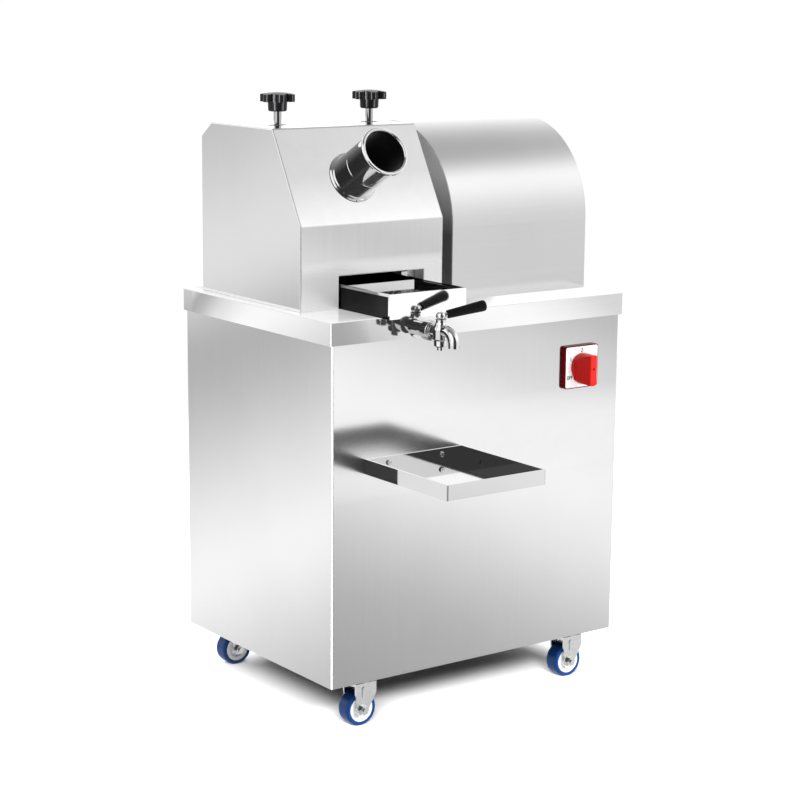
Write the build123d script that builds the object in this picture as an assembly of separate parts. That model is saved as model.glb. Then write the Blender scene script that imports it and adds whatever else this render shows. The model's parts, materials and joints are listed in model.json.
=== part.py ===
from build123d import *
import math
import os

# ---------------------------------------------------------------------------
# Sugarcane juicer: steel cabinet on casters, three-roller mill under a sloped
# head cover, geared drive under an arched hood.
# Millimetres.  Working axes: X to the right, Y to the back, Z up, with the
# worktop's upper face at z = 0 and its front left corner at x = y = 0.
# Every node is shifted at the end so that the origin lies on the floor, below
# the middle of the whole machine.
# ---------------------------------------------------------------------------

# worktop and cabinet
TOP_W, TOP_D, TOP_H = 548.0, 408.0, 34.0
SHEET = 1.5
CAB_X0, CAB_X1 = 5.0, 543.0
CAB_Y0, CAB_Y1 = 3.0, 404.0
CAB_Z0, CAB_Z1 = -540.0, -1.5
CASTER_H = 72.0
FLOOR_Z = CAB_Z0 - CASTER_H

# roller head cover
HEAD_X0, HEAD_X1 = 15.5, 270.4
HEAD_YF, HEAD_YB = 100.0, 373.0
HEAD_TOP = 259.0
SLOPE_Z0 = 124.0
SLOPE_Y1 = 174.0
CHAMF_Y, CHAMF_Z = 344.0, 238.0
OPEN_X0, OPEN_X1, OPEN_H = 82.0, 236.0, 48.0

# drive hood
HOOD_X0, HOOD_X1 = 270.6, 533.4
HOOD_R = 150.0
HOOD_YC, HOOD_ZC = 226.0, 110.0

# feed tube, square to the slope
TUBE_X = 128.0
TUBE_Z = 185.4
TUBE_R, TUBE_BORE = 34.0, 31.0
COLLAR_LEN, TUBE_LEN = 44.0, 96.0
COLLAR_FLANGE_R = 39.0
RIM_R = 37.8

# three-roller mill
MILL_Y, MILL_Z = 238.0, 100.0
ROLL_R = 41.0
LOWER_HALF = 47.0
CENTRE = 84.0
TOP_Z = MILL_Z + math.sqrt(CENTRE**2 - LOWER_HALF**2)
ROLL_X0, ROLL_X1 = 87.0, 217.0
SHAFT_R = 15.0
RUN = 0.05
GEAR_X0, GEAR_X1 = 278.0, 300.0
GEAR_M, GEAR_N = 3.5, 24
BACKLASH = 1.0
CHEEK_L0, CHEEK_L1 = 59.0, 73.0
CHEEK_R0, CHEEK_R1 = 225.0, 239.0
CHEEK_TOP = 215.0
SCREW_XL, SCREW_XR = 66.0, 232.0
SCREW_R = 5.9

# star knobs
KNOB_Z = HEAD_TOP + 20.5
KNOB_NECK, KNOB_HEAD = 14.0, 14.0

# trough, strainer, tap
TROUGH_X0, TROUGH_X1 = 84.0, 220.0
TROUGH_Y0, TROUGH_Y1 = -25.0, 338.0
TROUGH_H = 36.0
TAP_X, TAP_Z = 152.0, -20.0
VALVE_Y = -55.0
SPOUT_Y, SPOUT_Z = -86.0, -32.0

# switch
SW_X, SW_Z, SW_SIZE, SW_DEEP = 462.5, -107.5, 66.0, 7.0

# drip tray
DRIP_X0, DRIP_X1 = 64.0, 239.0
DRIP_Y0 = -190.0
DRIP_Z0, DRIP_Z1 = -226.5, -204.5

# drive
RED_X0, RED_X1 = 335.0, 425.0
MOTOR_X, MOTOR_Y, MOTOR_R = 380.0, 222.0, 70.0

# casters
WHEEL_R, WHEEL_W, TRAIL = 26.0, 25.0, 5.0
CASTER_X = (74.0, 474.0)
CASTER_Y = (30.0, 378.0)
AXLE_Z = FLOOR_Z + WHEEL_R

# bagasse chute
CHUTE_X0, CHUTE_X1 = 82.0, 202.0
CHUTE_REACH = 440.0

NODES = {}


# ---------------------------------------------------------------------------
# small builders
# ---------------------------------------------------------------------------
def bx(x0, x1, y0, y1, z0, z1):
    return Pos((x0 + x1) / 2, (y0 + y1) / 2, (z0 + z1) / 2) * Box(x1 - x0, y1 - y0, z1 - z0)


def cx(x0, x1, y, z, r):
    return Pos((x0 + x1) / 2, y, z) * Rot(0, 90, 0) * Cylinder(r, x1 - x0)


def cy(y0, y1, x, z, r):
    return Pos(x, (y0 + y1) / 2, z) * Rot(90, 0, 0) * Cylinder(r, y1 - y0)


def cz(z0, z1, x, y, r):
    return Pos(x, y, (z0 + z1) / 2) * Cylinder(r, z1 - z0)


def poly_x(pts, x0, x1):
    return extrude(Plane.YZ.offset(x0) * make_face(Polyline(pts, close=True)), amount=x1 - x0)


def poly_y(pts, y0, y1):
    return extrude(Plane.XZ.offset(-y1) * make_face(Polyline(pts, close=True)), amount=y1 - y0)


def poly_z(pts, z0, z1):
    return extrude(Plane.XY.offset(z0) * make_face(Polyline(pts, close=True)), amount=z1 - z0)


def hex_z(x, y, z0, z1, af):
    return Pos(x, y, z0) * extrude(RegularPolygon(af / 2 / math.cos(math.pi / 6), 6), amount=z1 - z0)


def hex_y(x, z, y0, y1, af):
    sk = Plane.XZ.offset(-y1) * Pos(x, z) * RegularPolygon(af / 2 / math.cos(math.pi / 6), 6)
    return extrude(sk, amount=y1 - y0)


def hex_x(y, z, x0, x1, af):
    sk = Plane.YZ.offset(x0) * Pos(y, z) * RegularPolygon(af / 2 / math.cos(math.pi / 6), 6)
    return extrude(sk, amount=x1 - x0)


def turned_x(pts, y, z):
    # a shape turned about an axis along X; pts are (x, radius)
    return Pos(0, y, z) * revolve(make_face(Polyline(pts, close=True)), Axis.X)


def turned_z(pts, x, y):
    # a shape turned about a vertical axis; pts are (radius, z)
    return Pos(x, y, 0) * revolve(Plane.XZ * make_face(Polyline(pts, close=True)), Axis.Z)


def group(shapes):
    out = []
    for s in shapes:
        out.extend(s.solids())
    return Compound(children=out)


# ---------------------------------------------------------------------------
# worktop: folded tray, upside down, hemmed towards the cabinet
# ---------------------------------------------------------------------------
outer = bx(0, TOP_W, 0, TOP_D, -TOP_H, 0)
outer = fillet(outer.edges().filter_by(Axis.Z), 3.0)
outer = fillet(outer.faces().sort_by(Axis.Z)[-1].edges(), 1.4)
inner = bx(SHEET, TOP_W - SHEET, SHEET, TOP_D - SHEET, -TOP_H - 1, -SHEET)
worktop = outer - inner
hem = bx(SHEET, TOP_W - SHEET, SHEET, TOP_D - SHEET, -TOP_H, -TOP_H + SHEET) - bx(
    CAB_X0, CAB_X1, CAB_Y0, CAB_Y1 + SHEET, -TOP_H - 1, -TOP_H + SHEET + 1
)
worktop = worktop + hem
worktop = worktop - cz(-3, 1, MOTOR_X, MOTOR_Y, 85)
worktop = worktop - cz(-3, 1, TAP_X, 40, 9.2)
BOLTS = [(49, 180), (49, 325), (249, 180), (249, 325), (478, 255), (478, 325)]
for bxx, byy in BOLTS:
    worktop = worktop - cz(-3, 1, bxx, byy, 5.2)
worktop = worktop - cy(-1, 2, TAP_X, TAP_Z, 8.2)
NODES["worktop"] = worktop

# ---------------------------------------------------------------------------
# cabinet wrap: front and both sides from one folded sheet, with a bottom
# flange all round and return flanges at the back
# ---------------------------------------------------------------------------
wrap = bx(CAB_X0, CAB_X1, CAB_Y0, CAB_Y1, CAB_Z0, CAB_Z1)
wrap = fillet(
    [e for e in wrap.edges().filter_by(Axis.Z) if e.center().Y < CAB_Y0 + 1], 3.0
)
hollow = bx(CAB_X0 + SHEET, CAB_X1 - SHEET, CAB_Y0 + SHEET, CAB_Y1 + 5, CAB_Z0 - 5, CAB_Z1 + 5)
wrap = wrap - hollow
flange = bx(CAB_X0 + 1, CAB_X1 - 1, CAB_Y0 + 1, CAB_Y1, CAB_Z0, CAB_Z0 + SHEET) - bx(
    CAB_X0 + 16, CAB_X1 - 16, CAB_Y0 + 16, CAB_Y1 + 5, CAB_Z0 - 1, CAB_Z0 + SHEET + 1
)
wrap = wrap + flange
for a, b in ((CAB_X0 + 1, CAB_X0 + 18), (CAB_X1 - 18, CAB_X1 - 1)):
    wrap = wrap + bx(a, b, CAB_Y1 - SHEET, CAB_Y1, CAB_Z0, CAB_Z1)
REAR_SCREWS = [(x, z) for x in (15.0, 533.0) for z in (-60.0, -218.0, -376.0, -520.0)]
for x, z in REAR_SCREWS:
    wrap = wrap - cy(CAB_Y1 - 3, CAB_Y1 + 1, x, z, 2.1)
DRIP_SCREWS = [(103.5, -213.5), (199.5, -213.5)]
for x, z in DRIP_SCREWS:
    wrap = wrap - cy(CAB_Y0 - 1, CAB_Y0 + 3, x, z, 2.1)
wrap = wrap - cy(CAB_Y0 - 1, CAB_Y0 + 3, SW_X, SW_Z, 22.4)
wrap = wrap - cy(CAB_Y0 - 1, CAB_Y0 + 3, TAP_X, TAP_Z, 8.4)
NODES["cabinet_wrap"] = wrap

# base sheet, lying on the wrap's bottom flange
base = bx(CAB_X0 + 1.7, CAB_X1 - 1.7, CAB_Y0 + 1.7, CAB_Y1 - 1.7, CAB_Z0 + SHEET, CAB_Z0 + 2 * SHEET)
for x in CASTER_X:
    for y in CASTER_Y:
        base = base - cz(CAB_Z0 - 1, CAB_Z0 + 6, x, y, 6.2)
for i in range(6):
    base = base - bx(214, 334, 130 + 26 * i, 138 + 26 * i, CAB_Z0, CAB_Z0 + 6)
NODES["cabinet_base"] = base

# rear panel with two columns of vent slots and the cable gland's hole
GLAND_X, GLAND_Z = 470.0, -470.0
rear = bx(8, 540, CAB_Y1, CAB_Y1 + SHEET, -537, -34.5)
for col in (150.0, 398.0):
    for i in range(9):
        z = -130 - 16 * i
        slot = bx(col - 52, col + 52, CAB_Y1 - 1, CAB_Y1 + 3, z - 3, z + 3)
        slot = slot + cy(CAB_Y1 - 1, CAB_Y1 + 3, col - 52, z, 3) + cy(CAB_Y1 - 1, CAB_Y1 + 3, col + 52, z, 3)
        rear = rear - slot
for x, z in REAR_SCREWS:
    rear = rear - cy(CAB_Y1 - 1, CAB_Y1 + 3, x, z, 2.1)
rear = rear - cy(CAB_Y1 - 1, CAB_Y1 + 3, GLAND_X, GLAND_Z, 8.1)
NODES["rear_panel"] = rear


def pan_screw(x, z, y_seat, out, length):
    # pan-head screw along Y; out is -1 for a head on the front side
    head = Pos(x, y_seat + out * 1.25, z) * Rot(90, 0, 0) * Cylinder(4.0, 2.5)
    edge = head.faces().sort_by(Axis.Y)[0 if out < 0 else -1].edges()
    head = fillet(edge, 1.2)
    y_end = y_seat - out * length
    shank = cy(min(y_seat, y_end), max(y_seat, y_end), x, z, 2.0)
    cut2 = bx(x - 0.5, x + 0.5, *sorted((y_seat + out * 1.6, y_seat + out * 3.0)), z - 2.6, z + 2.6)
    cut = bx(x - 2.6, x + 2.6, *sorted((y_seat + out * 1.6, y_seat + out * 3.0)), z - 0.5, z + 0.5)
    return head + shank - cut - cut2


NODES["panel_screws"] = group([pan_screw(x, z, CAB_Y1 + SHEET, 1, 7.0) for x, z in REAR_SCREWS])

# ---------------------------------------------------------------------------
# welded frame of angle inside the cabinet
# ---------------------------------------------------------------------------
FX0, FX1, FY0, FY1 = 7.0, 541.0, 5.0, 396.0
FZ0, FZ1 = CAB_Z0 + 2 * SHEET, CAB_Z1
A, B, T3 = 25.0, 40.0, 3.0
bars = []
for xa, sx in ((FX0, 1), (FX1, -1)):
    for ya, sy in ((FY0, 1), (FY1, -1)):
        bars.append(bx(*sorted((xa, xa + sx * A)), *sorted((ya, ya + sy * T3)), FZ0, FZ1))
        bars.append(bx(*sorted((xa, xa + sx * T3)), *sorted((ya, ya + sy * A)), FZ0, FZ1))
for ya, sy in ((FY0, 1), (FY1, -1)):
    bars.append(bx(FX0, FX1, *sorted((ya, ya + sy * T3)), FZ1 - A, FZ1))
    bars.append(bx(FX0, FX1, *sorted((ya, ya + sy * A)), FZ1 - T3, FZ1))
    bars.append(bx(FX0, FX1, *sorted((ya, ya + sy * T3)), FZ0, FZ0 + B))
    bars.append(bx(FX0, FX1, *sorted((ya, ya + sy * B)), FZ0, FZ0 + T3))
for xa, sx in ((FX0, 1), (FX1, -1)):
    bars.append(bx(*sorted((xa, xa + sx * T3)), FY0, FY1, FZ1 - A, FZ1))
    bars.append(bx(*sorted((xa, xa + sx * A)), FY0, FY1, FZ1 - T3, FZ1))
    bars.append(bx(*sorted((xa, xa + sx * T3)), FY0, FY1, FZ0, FZ0 + B))
    bars.append(bx(*sorted((xa, xa + sx * B)), FY0, FY1, FZ0, FZ0 + T3))
for x0, x1, lx0, lx1 in ((34, 60, 34, 37), (238, 264, 261, 264), (467, 492, 489, 492)):
    bars.append(bx(x0, x1, FY0, FY1, FZ1 - T3, FZ1))
    bars.append(bx(lx0, lx1, FY0, FY1, FZ1 - A, FZ1))
frame = bars[0]
for b in bars[1:]:
    frame = frame + b
for x in CASTER_X:
    for y in CASTER_Y:
        frame = frame - cz(FZ0 - 1, FZ0 + 5, x, y, 6.2)
for bxx, byy in BOLTS:
    frame = frame - cz(FZ1 - 5, FZ1 + 1, bxx, byy, 5.2)
frame = frame - cy(FY0 - 1, FY0 + 5, TAP_X, TAP_Z, 8.4)
NODES["cabinet_frame"] = frame

# ---------------------------------------------------------------------------
# roller head cover
# ---------------------------------------------------------------------------
HEAD_PTS = [
    (HEAD_YF, 0.0),
    (HEAD_YF, SLOPE_Z0),
    (SLOPE_Y1, HEAD_TOP),
    (CHAMF_Y, HEAD_TOP),
    (HEAD_YB, CHAMF_Z),
    (HEAD_YB, 0.0),
]


def inset(pts, d):
    # the same closed outline moved inwards by d
    n = len(pts)
    area = sum(pts[i][0] * pts[(i + 1) % n][1] - pts[(i + 1) % n][0] * pts[i][1] for i in range(n))
    s = 1.0 if area > 0 else -1.0
    lines = []
    for i in range(n):
        (x0, y0), (x1, y1) = pts[i], pts[(i + 1) % n]
        length = math.hypot(x1 - x0, y1 - y0)
        nx, ny = -(y1 - y0) / length * s, (x1 - x0) / length * s
        lines.append((x0 + nx * d, y0 + ny * d, x1 - x0, y1 - y0))
    out = []
    for i in range(n):
        ax, ay, adx, ady = lines[i - 1]
        bx0, by0, bdx, bdy = lines[i]
        den = adx * bdy - ady * bdx
        t = ((bx0 - ax) * bdy - (by0 - ay) * bdx) / den
        out.append((ax + adx * t, ay + ady * t))
    return out


head_out = poly_x(HEAD_PTS, HEAD_X0, HEAD_X1)
head_out = fillet(
    [e for e in head_out.edges().filter_by(Axis.X) if e.center().Z > 10], 3.0
)
rim_edges = [
    e
    for e in head_out.edges()
    if abs(e.center().X - HEAD_X0) < 0.01 and e.center().Z > 1
]
head_out = fillet(rim_edges, 1.4)
INNER_PTS = inset(HEAD_PTS, SHEET)
INNER_PTS = [(y, -5.0 if z < 10 else z) for y, z in INNER_PTS]
head = head_out - poly_x(INNER_PTS, HEAD_X0 + SHEET, HEAD_X1 - SHEET)
head = head - bx(OPEN_X0, OPEN_X1, HEAD_YF - 3, HEAD_YF + 3, -1, OPEN_H)
head = head - bx(HEAD_X1 - 3, HEAD_X1 + 2, 168, 308, -1, 198)
head = head - bx(CHUTE_X0 + 2, CHUTE_X1 - 2, HEAD_YB - 3, HEAD_YB + 3, 66, 150)
for x in (SCREW_XL, SCREW_XR):
    head = head - bx(x - 8, x + 8, MILL_Y - 9, MILL_Y + 9, HEAD_TOP - 4, HEAD_TOP + 2)
    head = head - cz(HEAD_TOP - 4, HEAD_TOP + 2, x - 8, MILL_Y, 9.0) - cz(HEAD_TOP - 4, HEAD_TOP + 2, x + 8, MILL_Y, 9.0)
SL = math.hypot(SLOPE_Y1 - HEAD_YF, HEAD_TOP - SLOPE_Z0)
TUBE_DIR = Vector(0, -(HEAD_TOP - SLOPE_Z0) / SL, (SLOPE_Y1 - HEAD_YF) / SL)
TUBE_Y = HEAD_YF + (TUBE_Z - SLOPE_Z0) * (SLOPE_Y1 - HEAD_YF) / (HEAD_TOP - SLOPE_Z0)
TUBE_PL = Plane(origin=(TUBE_X, TUBE_Y, TUBE_Z), x_dir=(1, 0, 0), z_dir=TUBE_DIR)


def tube_turned(pts):
    # turned about the tube's axis; pts are (radius, distance out from the slope)
    return TUBE_PL * revolve(Plane.XZ * make_face(Polyline(pts, close=True)), Axis.Z)


head = head - tube_turned([(0, -12), (TUBE_BORE + 1.0, -12), (TUBE_BORE + 1.0, 12), (0, 12)])
NODES["head_cover"] = head

# ---------------------------------------------------------------------------
# feed tube: collar welded round the hole, upper tube plugged into it
# ---------------------------------------------------------------------------
CB = 1.0
collar = tube_turned(
    [
        (TUBE_BORE + CB, 0.0),
        (COLLAR_FLANGE_R - 1.5, 0.0),
        (COLLAR_FLANGE_R, 1.5),
        (COLLAR_FLANGE_R, 3.5),
        (COLLAR_FLANGE_R - 2.0, 5.5),
        (TUBE_R + 1.5, 6.5),
        (TUBE_R, 8.0),
        (TUBE_R, COLLAR_LEN - 0.8),
        (TUBE_R - 0.8, COLLAR_LEN),
        (TUBE_R - 1.4, COLLAR_LEN),
        (TUBE_R - 1.4, COLLAR_LEN - 15.0),
        (TUBE_BORE + CB, COLLAR_LEN - 15.0),
    ]
)
pin_hole = TUBE_PL * (Pos(-TUBE_R * math.cos(0.75), TUBE_R * math.sin(0.75), COLLAR_LEN - 8.0) * Sphere(2.4))
key_slot = TUBE_PL * (
    Rot(0, 0, -52) * Pos(TUBE_R - 0.4, 0, COLLAR_LEN - 1.2) * Box(2.4, 9.0, 3.4)
)
collar = collar - pin_hole - key_slot
NODES["feed_collar"] = collar
SPIG = TUBE_R - 1.42
NODES["feed_tube"] = tube_turned(
    [
        (TUBE_BORE, COLLAR_LEN - 14.6),
        (SPIG, COLLAR_LEN - 14.6),
        (SPIG, COLLAR_LEN),
        (TUBE_R - 0.8, COLLAR_LEN),
        (TUBE_R, COLLAR_LEN + 0.8),
        (TUBE_R, TUBE_LEN - 7.0),
        (RIM_R - 1.6, TUBE_LEN - 6.4),
        (RIM_R - 0.2, TUBE_LEN - 5.0),
        (RIM_R, TUBE_LEN - 3.2),
        (RIM_R - 0.4, TUBE_LEN - 1.4),
        (RIM_R - 1.6, TUBE_LEN - 0.2),
        (RIM_R - 2.8, TUBE_LEN),
        (RIM_R - 3.9, TUBE_LEN - 0.3),
        (RIM_R - 4.7, TUBE_LEN - 1.2),
        (TUBE_BORE + 0.7, TUBE_LEN - 3.0),
        (TUBE_BORE, TUBE_LEN - 5.0),
    ]
)

# ---------------------------------------------------------------------------
# drive hood: half-barrel shell with two end walls
# ---------------------------------------------------------------------------


def arch(r, x0, x1, zb):
    sk = make_face(
        [
            Line((HOOD_YC - r, zb), (HOOD_YC - r, HOOD_ZC)),
            ThreePointArc((HOOD_YC - r, HOOD_ZC), (HOOD_YC, HOOD_ZC + r), (HOOD_YC + r, HOOD_ZC)),
            Line((HOOD_YC + r, HOOD_ZC), (HOOD_YC + r, zb)),
            Line((HOOD_YC + r, zb), (HOOD_YC - r, zb)),
        ]
    )
    return extrude(Plane.YZ.offset(x0) * sk, amount=x1 - x0)


hood = arch(HOOD_R, HOOD_X0, HOOD_X1, 0.0)
hood_rim = [
    e
    for e in hood.edges()
    if (abs(e.center().X - HOOD_X0) < 0.01 or abs(e.center().X - HOOD_X1) < 0.01) and e.center().Z > 1
]
hood = fillet(hood_rim, 1.4)
hood = hood - arch(HOOD_R - SHEET, HOOD_X0 + SHEET, HOOD_X1 - SHEET, -5.0)
hood = hood - bx(HOOD_X0 - 2, HOOD_X0 + 3, 168, 308, -1, 198)
for i in range(6):
    z = 60 + 13 * i
    slot = bx(HOOD_X1 - 3, HOOD_X1 + 2, 180, 272, z - 2.5, z + 2.5)
    slot = slot + cx(HOOD_X1 - 3, HOOD_X1 + 2, 180, z, 2.5) + cx(HOOD_X1 - 3, HOOD_X1 + 2, 272, z, 2.5)
    hood = hood - slot
NODES["drive_hood"] = hood

# ---------------------------------------------------------------------------
# mill cheeks with a slot for the upper roller's bearing blocks
# ---------------------------------------------------------------------------
BLK_H = 28.0
LOWER = (MILL_Y - LOWER_HALF, MILL_Y + LOWER_HALF)
TIES = [(172.0, 52.0), (333.0, 200.0), (333.0, 52.0)]
CHEEK_PTS = [(160, 0), (160, 170), (185, CHEEK_TOP), (345, CHEEK_TOP), (345, 0)]


def cheek(x0, x1, foot0, foot1):
    p = poly_x(CHEEK_PTS, x0, x1)
    p = p + bx(foot0, foot1, 160, 345, 0, 10)
    p = p - bx(x0 - 1, x1 + 1, MILL_Y - BLK_H - 0.15, MILL_Y + BLK_H + 0.15, 136, CHEEK_TOP + 1)
    for y in LOWER:
        p = p - cx(x0 - 1, x1 + 1, y, MILL_Z, 21.02)
    for y, z in TIES:
        p = p - cx(x0 - 1, x1 + 1, y, z, 7.02)
    for bxx, byy in BOLTS:
        if min(foot0, foot1) < bxx < max(foot0, foot1):
            p = p - cz(-1, 11, bxx, byy, 5.2)
    return p


NODES["cheek_left"] = cheek(CHEEK_L0, CHEEK_L1, 41, 59)
NODES["cheek_right"] = cheek(CHEEK_R0, CHEEK_R1, 239, 257)

rods = []
for y, z in TIES:
    rod = cx(46, 252, y, z, 7.0)
    rod = rod + hex_x(y, z, 49, 59, 22) + hex_x(y, z, 239, 249, 22)
    rods.append(rod)
NODES["tie_rods"] = group(rods)

bushes = []
for y in LOWER:
    for x0, x1, f0, f1 in ((CHEEK_L0, CHEEK_L1, CHEEK_L1, CHEEK_L1 + 2), (CHEEK_R0, CHEEK_R1, CHEEK_R0 - 2, CHEEK_R0)):
        b = cx(x0, x1, y, MILL_Z, 21.0) + cx(f0, f1, y, MILL_Z, 25.0)
        bushes.append(b - cx(x0 - 5, x1 + 5, y, MILL_Z, SHAFT_R + RUN))
NODES["roller_bushes"] = group(bushes)

# nut blocks bridging the slots, with the pressure screws' clearance
nuts = []
for xs in (SCREW_XL, SCREW_XR):
    n = bx(xs - 10, xs + 10, MILL_Y - 48, MILL_Y + 48, CHEEK_TOP, CHEEK_TOP + 17)
    n = n - cz(CHEEK_TOP - 1, CHEEK_TOP + 18, xs, MILL_Y, SCREW_R + 0.4)
    for dy in (-39, 39):
        n = n + hex_z(xs, MILL_Y + dy, CHEEK_TOP + 17, CHEEK_TOP + 22, 13)
    nuts.append(n)
NODES["screw_nuts"] = group(nuts)

# sliding bearing blocks
blocks = []
for x0, x1, xs in ((CHEEK_L0, CHEEK_L1, SCREW_XL), (CHEEK_R0, CHEEK_R1, SCREW_XR)):
    b = bx(x0 - 0.2, x1 + 0.2, MILL_Y - BLK_H, MILL_Y + BLK_H, TOP_Z - 30, TOP_Z + 34)
    b = b + bx(x0 - 4.2, x0 - 0.2, MILL_Y - 34, MILL_Y + 34, TOP_Z - 24, TOP_Z + 28)
    b = b + bx(x1 + 0.2, x1 + 4.2, MILL_Y - 34, MILL_Y + 34, TOP_Z - 24, TOP_Z + 28)
    b = b - cx(x0 - 6, x1 + 6, MILL_Y, TOP_Z, SHAFT_R + RUN)
    b = b - cz(TOP_Z + 26, TOP_Z + 35, xs, MILL_Y, SCREW_R + RUN)
    blocks.append(b)
NODES["bearing_blocks"] = group(blocks)

# pressure screws and star knobs
SCREW_TIP = TOP_Z + 26.5
for side, xs in (("left", SCREW_XL), ("right", SCREW_XR)):
    s = cz(SCREW_TIP, KNOB_Z + 18, xs, MILL_Y, SCREW_R)
    s = chamfer(s.edges().sort_by(Axis.Z)[-1], 1.0)
    NODES[f"pressure_screw_{side}"] = s
    z1 = KNOB_Z + KNOB_NECK
    neck = turned_z([(0, KNOB_Z), (12.5, KNOB_Z), (14.0, KNOB_Z + 1.5), (14.6, z1 + 1), (0, z1 + 1)], xs, MILL_Y)
    lobes = cz(z1, z1 + KNOB_HEAD, xs, MILL_Y, 18.2)
    for k in range(6):
        a = math.radians(60 * k + 12)
        lobes = lobes + cz(z1, z1 + KNOB_HEAD, xs + 19.0 * math.cos(a), MILL_Y + 19.0 * math.sin(a), 7.5)
    dome = turned_z(
        [(0, z1 - 2), (30, z1 - 2), (30, z1 + 9.8), (24, z1 + 11.4), (15, z1 + 12.8), (6, z1 + 13.6), (0, z1 + 13.8)],
        xs,
        MILL_Y,
    )
    lobes = lobes & dome
    k = neck + lobes
    k = k - cz(KNOB_Z - 1, KNOB_Z + 18.4, xs, MILL_Y, SCREW_R + 0.02)
    NODES[f"knob_{side}"] = k


# ---------------------------------------------------------------------------
# rollers: shaft, shoulders and a barrel with fine gripping grooves
# ---------------------------------------------------------------------------
def roller(x_end, s0, s1):
    pts = [(48, 0), (48, SHAFT_R - 1), (49, SHAFT_R), (s0, SHAFT_R), (s0, 22), (ROLL_X0, 22), (ROLL_X0, ROLL_R)]
    for i in range(12):
        x = ROLL_X0 + 10 + 10 * i
        pts += [(x - 1.6, ROLL_R), (x, ROLL_R - 1.2), (x + 1.6, ROLL_R)]
    pts += [(ROLL_X1, ROLL_R), (ROLL_X1, 22), (s1, 22), (s1, SHAFT_R), (x_end - 1, SHAFT_R), (x_end, SHAFT_R - 1), (x_end, 0)]
    return pts


NODES["top_roller"] = turned_x(roller(306, 78.5, 219.5), MILL_Y, TOP_Z)
NODES["front_roller"] = turned_x(roller(306, 76, 222), LOWER[0], MILL_Z)
NODES["rear_roller"] = turned_x(roller(432, 76, 222), LOWER[1], MILL_Z)


# ---------------------------------------------------------------------------
# meshed gears at the right-hand shaft ends
# ---------------------------------------------------------------------------
def gear(y, z, phase_deg):
    pa = math.radians(20)
    rp = GEAR_M * GEAR_N / 2
    rb = rp * math.cos(pa)
    ra = rp + GEAR_M
    rf = rp - 1.25 * GEAR_M
    inv = math.tan(pa) - pa
    half = math.pi / (2 * GEAR_N) - BACKLASH / 2 / rp / 2
    pts = []
    for k in range(GEAR_N):
        c = math.radians(phase_deg) + 2 * math.pi * k / GEAR_N
        flank = []
        for r in (rf, rb, rb + (ra - rb) * 0.34, rb + (ra - rb) * 0.68, ra):
            if r <= rb:
                off = half + inv
            else:
                al = math.acos(rb / r)
                off = half + inv - (math.tan(al) - al)
            flank.append((r, off))
        for r, off in flank:
            pts.append((r * math.cos(c - off), r * math.sin(c - off)))
        for r, off in reversed(flank):
            pts.append((r * math.cos(c + off), r * math.sin(c + off)))
    body = poly_x(pts, GEAR_X0, GEAR_X1)
    body = body - cx(GEAR_X0 - 1, GEAR_X1 + 1, 0, 0, SHAFT_R + 0.02)
    for k in range(4):
        a = math.radians(45 + 90 * k)
        body = body - cx(GEAR_X0 - 1, GEAR_X1 + 1, 26 * math.cos(a), 26 * math.sin(a), 6.5)
    return Pos(0, y, z) * body


TH = math.degrees(math.atan2(TOP_Z - MILL_Z, LOWER_HALF))
STEP = 360.0 / GEAR_N
PH_T = 90.0


def mate_phase(line_deg):
    # tooth phase of a gear in mesh with the top gear along a centre line
    d = (PH_T - line_deg + STEP / 2) % STEP - STEP / 2
    return line_deg + 180.0 - d + STEP / 2


NODES["top_gear"] = gear(MILL_Y, TOP_Z, PH_T)
NODES["front_gear"] = gear(LOWER[0], MILL_Z, mate_phase(180.0 + TH))
NODES["rear_gear"] = gear(LOWER[1], MILL_Z, mate_phase(-TH))

# plate between the lower rollers, on a bar between the cheeks
arc_pts = []
for r, angs in ((43.2, range(-101, -78, 2)), (47.5, range(-79, -102, -2))):
    for a in angs:
        arc_pts.append((MILL_Y + r * math.cos(math.radians(a)), TOP_Z + r * math.sin(math.radians(a))))
trash = poly_x(arc_pts, 88, 216)
trash = trash + bx(88, 216, MILL_Y - 2, MILL_Y + 2, 64, 124)
trash = trash + bx(CHEEK_L1, CHEEK_R0, MILL_Y - 6, MILL_Y + 6, 54, 66)
NODES["trash_plate"] = trash

# scraper behind the rear roller, leading to the chute
scr = poly_x([(317.0, 130.5), (371.0, 71.0), (371.0, 68.0), (315.2, 129.6)], 86, 198)
scr = scr + bx(CHEEK_L1, CHEEK_R0, 330, 338, 98, 110)
NODES["rear_scraper"] = scr

# bagasse chute on the head's back wall
chute = poly_x([(HEAD_YB, 66), (CHUTE_REACH, 40), (CHUTE_REACH, 38.4), (HEAD_YB, 64.4)], CHUTE_X0, CHUTE_X1)
side = [(HEAD_YB, 64.4), (CHUTE_REACH, 38.4), (CHUTE_REACH, 86), (HEAD_YB, 152)]
chute = chute + poly_x(side, CHUTE_X0, CHUTE_X0 + SHEET) + poly_x(side, CHUTE_X1 - SHEET, CHUTE_X1)
fl = bx(CHUTE_X0 - 13, CHUTE_X1 + 13, HEAD_YB, HEAD_YB + SHEET, 52, 165)
fl = fl - bx(CHUTE_X0 + SHEET, CHUTE_X1 - SHEET, HEAD_YB - 1, HEAD_YB + 3, 66, 150)
chute = chute + fl
NODES["bagasse_chute"] = chute

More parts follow.
